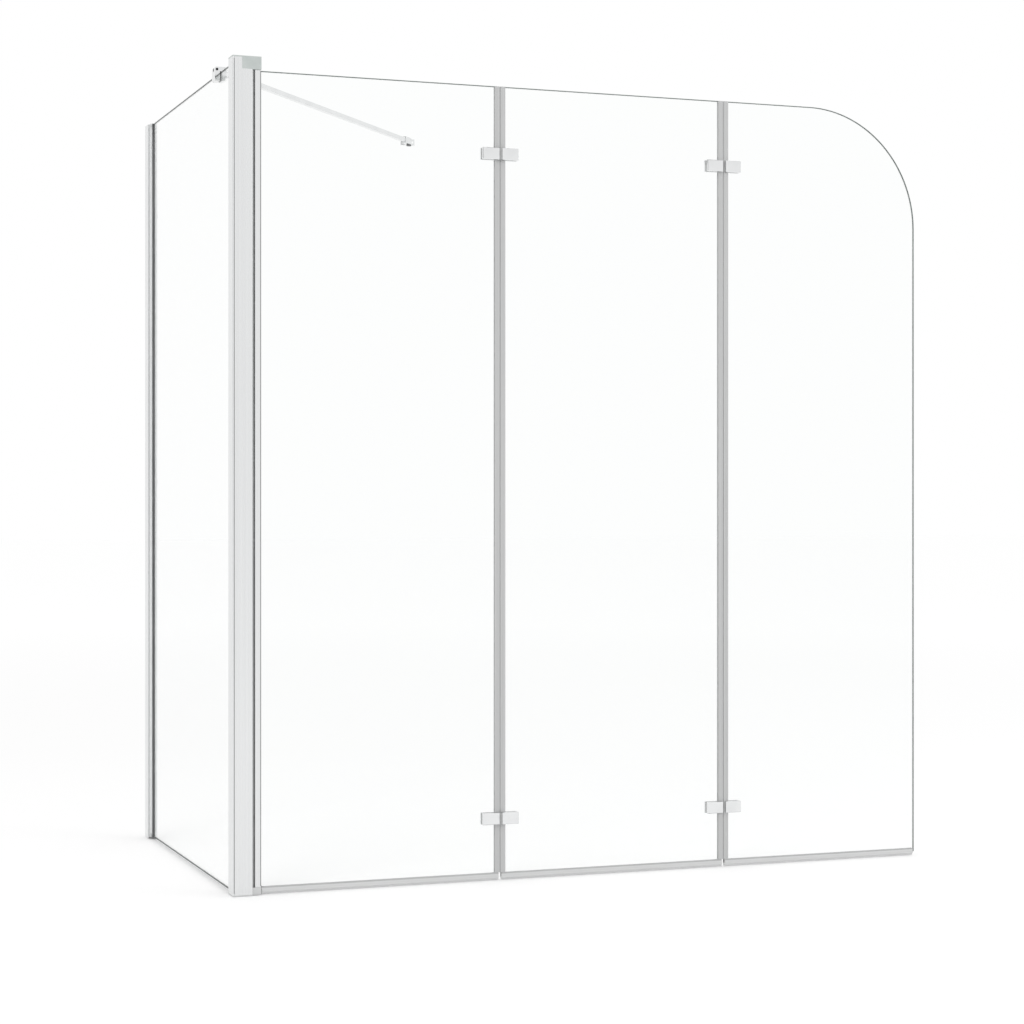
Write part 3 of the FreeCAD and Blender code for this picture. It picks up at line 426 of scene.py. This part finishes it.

# lips along the top of the bottom sweeps, one on each face of the pane, in a darker copy of the sweep
# vinyl: painted shade along the top edge

shadedSweepLip = {
    **looks["sweep"], "name": "paintedShadeLip", "height": 0.0018, "skin": 0.00004, "thick": 0.0005,
    "dark": (0.51, 0.515, 0.515), "light": (0.58, 0.585, 0.585),
}
finishes["lip"] = grainedFinish(shadedSweepLip)
for number in (1, 2, 3):
    low, high = spot(f"bottom_seal_{number}")
    across = (low[0], high[0])
    levels = (high[2] - shadedSweepLip["height"], high[2] + shadedSweepLip["skin"])
    inward = np.array([-shadedSweepLip["skin"], shadedSweepLip["thick"]])
    form = joined([stripForm(across, low[1] + inward, levels),
                   stripForm(across, high[1] - inward, levels)])
    body = f"front_panel_{number}"
    meshPiece(f"sweep_shade_lip_{number}", form, finishes["lip"], body)
print("sweep lips done")

# satin sleeves on the knuckles of the first fold, which stand outside; their grey is partly a grey
# bush and partly painted shade for the gap between the leaves

sleeve = {
    "name": "satinSleeveShade", "radius": 0.00233, "bore": 0.0022, "middle": 0.0035, "gap": 0.00025,
    "steps": 48, "axes": ((0, 0, 1), (1, 0, 0), (0, 1, 0)),
    "dark": (0.36, 0.365, 0.365), "light": (0.42, 0.425, 0.425),
    "broadScale": (40.0, 40.0, 700.0), "fineScale": (1500.0, 1500.0, 2600.0),
    "rough": (0.34, 0.46), "depth": 0.00003, "strength": 0.2,
}
finishes["sleeve"] = grainedFinish(sleeve)


def sleeveForm(axis, foot, top):
    # a thin tube: its wall is a small rectangle of radius and height
    radius, bore = sleeve["radius"], sleeve["bore"]
    rings = [(radius, foot, 0), (radius, top, 0), (bore, top, 0), (bore, foot, 0)]
    return turnedForm((*axis, 0.0), sleeve["axes"], rings, sleeve["steps"], tube=True)


pinLow, pinHigh = spot("first_hinge_pins")
knuckleAxis = (pinLow + pinHigh)[:2] / 2
for level in ("upper", "lower"):
    low, high = spot(f"first_hinge_{level}_left_leaf")
    middle = (low[2] + high[2]) / 2
    inner, outer = sleeve["middle"], sleeve["middle"] + sleeve["gap"]
    outside = [(low[2], middle - outer), (middle + outer, high[2])]
    inside = [(middle - inner, middle + inner)]
    for hand, body, spans in (("left", "front_panel_1", outside),
                              ("right", "front_panel_2", inside)):
        form = joined([sleeveForm(knuckleAxis, foot, top) for foot, top in spans])
        meshPiece(f"first_knuckle_{level}_{hand}", form, finishes["sleeve"], body)
print("knuckle sleeves done")

# set screw with a hexagon socket in the front of the clamp

setScrew = {
    "radius": 0.0021, "socket": 0.0010, "socketSides": 6, "proud": 0.0006, "depth": 0.0005,
    "edge": 0.00015, "fromLeft": 0.0032, "sunk": 0.0002,
    "steps": 48, "axes": ((0, -1, 0), (1, 0, 0), (0, 0, 1)),
}
low, high = spot("clamp_outer_jaw")
boltLow, boltHigh = spot("clamp_bolt")
centre = (low[0] + setScrew["fromLeft"], low[1], (boltLow[2] + boltHigh[2]) / 2)
radius, edge, proud = setScrew["radius"], setScrew["edge"], setScrew["proud"]
socket, sides = setScrew["socket"], setScrew["socketSides"]
rings = [(radius, -setScrew["sunk"], 0), (radius, proud - edge, 0), (radius - edge, proud, 0),
         (socket, proud, sides), (socket, proud - setScrew["depth"], sides)]
form = turnedForm(centre, setScrew["axes"], rings, setScrew["steps"])
ends = discs(form, setScrew["steps"])
meshPiece("clamp_set_screw", form, finishes["black_steel"], "wall_fittings", ends)

# dark rubber cap under the swivel at the wall: painted shade, standing for the shadow under the
# bracket

swivelShadeCap = {
    "radius": 0.0045, "height": 0.0024, "edge": 0.0004, "sunk": 0.0002,
    "steps": 48, "axes": ((0, 0, -1), (1, 0, 0), (0, 1, 0)),
}
low, high = spot("bar_wall_end")
pinLow, pinHigh = spot("bar_wall_pin")
centre = (*(pinLow + pinHigh)[:2] / 2, low[2])
radius, edge, height = swivelShadeCap["radius"], swivelShadeCap["edge"], swivelShadeCap["height"]
rings = [(radius, -swivelShadeCap["sunk"], 0), (radius, height - edge, 0), (radius - edge, height, 0)]
form = turnedForm(centre, swivelShadeCap["axes"], rings, swivelShadeCap["steps"])
ends = discs(form, swivelShadeCap["steps"])
meshPiece("swivel_shade_cap", form, finishes["dark_rubber"], "wall_fittings", ends)
print("small fasteners done")

# studio: white floor that keeps the shadow, white room, two soft lamps

studio = {
    "floorSize": 60.0, "floorDrop": 0.0005, "floorColour": 0.96,
    "floorLift": (0.11, 0.17), "liftReach": (1.5, 7.0), "roomLight": 0.86,
    "flagWay": (-0.946, -0.326, 0.0), "flagEdge": (0.78, 0.97), "flagDepth": 0.36,
    "aim": (0.5, -0.4, 0.7),
    "lamps": [
        {"name": "keyLamp", "at": (-2.6, -3.6, 3.4), "size": 2.4, "power": 30.0},
        {"name": "fillLamp", "at": (3.4, -2.6, 2.6), "size": 2.4, "power": 15.0},
    ],
}


def reckon(tree, operation, first, second):
    # two values put together by one step of arithmetic
    step = tree.nodes.new("ShaderNodeMath")
    step.operation = operation
    tree.links.new(first, step.inputs[0])
    tree.links.new(second, step.inputs[1])
    return step.outputs["Value"]


def seenDirectly(tree):
    # 1 for rays from the camera, a mirror or a pane, 0 for the light that falls on a surface
    rays = tree.nodes.new("ShaderNodeLightPath").outputs
    direct = reckon(tree, "MAXIMUM", rays["Is Camera Ray"], rays["Is Glossy Ray"])
    return reckon(tree, "MAXIMUM", direct, rays["Is Transmission Ray"])


world = bpy.data.worlds.new("whiteRoom")
scene.world = world
world.use_nodes = True
roomTree = world.node_tree
room = roomTree.nodes["Background"]
room.inputs["Color"].default_value = (1.0, 1.0, 1.0, 1.0)
roomLevel = ranged(roomTree, seenDirectly(roomTree), (0.0, 1.0), (studio["roomLight"], 1.0))

# a dark flag at the left, seen only by mirrors, so that the bevels of the metal read as edges
roomWay = roomTree.nodes.new("ShaderNodeTexCoord")
alongFlag = roomTree.nodes.new("ShaderNodeVectorMath")
alongFlag.operation = "DOT_PRODUCT"
alongFlag.inputs[1].default_value = studio["flagWay"]
roomTree.links.new(roomWay.outputs["Generated"], alongFlag.inputs[0])
flag = ranged(roomTree, alongFlag.outputs["Value"], studio["flagEdge"], (0.0, studio["flagDepth"]),
              "SMOOTHSTEP")
mirrorRays = roomTree.nodes.new("ShaderNodeLightPath").outputs["Is Glossy Ray"]
flagSeen = reckon(roomTree, "MULTIPLY", flag, mirrorRays)
roomTree.links.new(reckon(roomTree, "SUBTRACT", roomLevel, flagSeen), room.inputs["Strength"])

floorMat = bpy.data.materials.new("paleFloor")
floorMat.use_nodes = True
floorTree = floorMat.node_tree
floorTree.nodes.clear()
floorOut = floorTree.nodes.new("ShaderNodeOutputMaterial")
matte = floorTree.nodes.new("ShaderNodeBsdfDiffuse")
matte.inputs["Color"].default_value = (*[studio["floorColour"]] * 3, 1.0)

# the lamps fade with distance, so the floor is lifted to white further out
floorSpot = floorTree.nodes.new("ShaderNodeTexCoord")
away = floorTree.nodes.new("ShaderNodeVectorMath")
away.operation = "LENGTH"
floorTree.links.new(floorSpot.outputs["Object"], away.inputs[0])
fade = ranged(floorTree, away.outputs["Value"], studio["liftReach"], studio["floorLift"])
lift = floorTree.nodes.new("ShaderNodeEmission")
liftSeen = reckon(floorTree, "MULTIPLY", fade, seenDirectly(floorTree))
floorTree.links.new(liftSeen, lift.inputs["Strength"])
both = floorTree.nodes.new("ShaderNodeAddShader")
floorTree.links.new(matte.outputs["BSDF"], both.inputs[0])
floorTree.links.new(lift.outputs["Emission"], both.inputs[1])
floorTree.links.new(both.outputs["Shader"], floorOut.inputs["Surface"])

reach, drop = studio["floorSize"] / 2, -studio["floorDrop"]
floorMesh = bpy.data.meshes.new("floor")
floorMesh.from_pydata([(-reach, -reach, drop), (reach, -reach, drop), (reach, reach, drop),
                       (-reach, reach, drop)], [], [(0, 1, 2, 3)])
floorMesh.materials.append(floorMat)
floor = bpy.data.objects.new("floor", floorMesh)
scene.collection.objects.link(floor)

for lamp in studio["lamps"]:
    light = bpy.data.lights.new(lamp["name"], "AREA")
    light.size = lamp["size"]
    light.energy = lamp["power"]
    holder = bpy.data.objects.new(lamp["name"], light)
    holder.location = lamp["at"]
    towards = Vector(studio["aim"]) - Vector(lamp["at"])
    holder.rotation_euler = towards.to_track_quat("-Z", "Y").to_euler()
    scene.collection.objects.link(holder)
print("studio done")

# level camera, which stands to the left of the screen and is turned to the right

view = {
    "lens": 80.86, "sensor": 36.0, "shift": -0.0125,
    "at": (-0.8267, -4.1605, 0.614), "tilt": 90.0, "yaw": -20.17,
}
cameraData = bpy.data.cameras.new("camera")
cameraData.lens = view["lens"]
cameraData.sensor_width = view["sensor"]
cameraData.shift_y = view["shift"]
camera = bpy.data.objects.new("camera", cameraData)
camera.location = view["at"]
camera.rotation_euler = (math.radians(view["tilt"]), 0.0, math.radians(view["yaw"]))
scene.collection.objects.link(camera)
scene.camera = camera
scene.view_settings.view_transform = "Standard"
print("camera done")
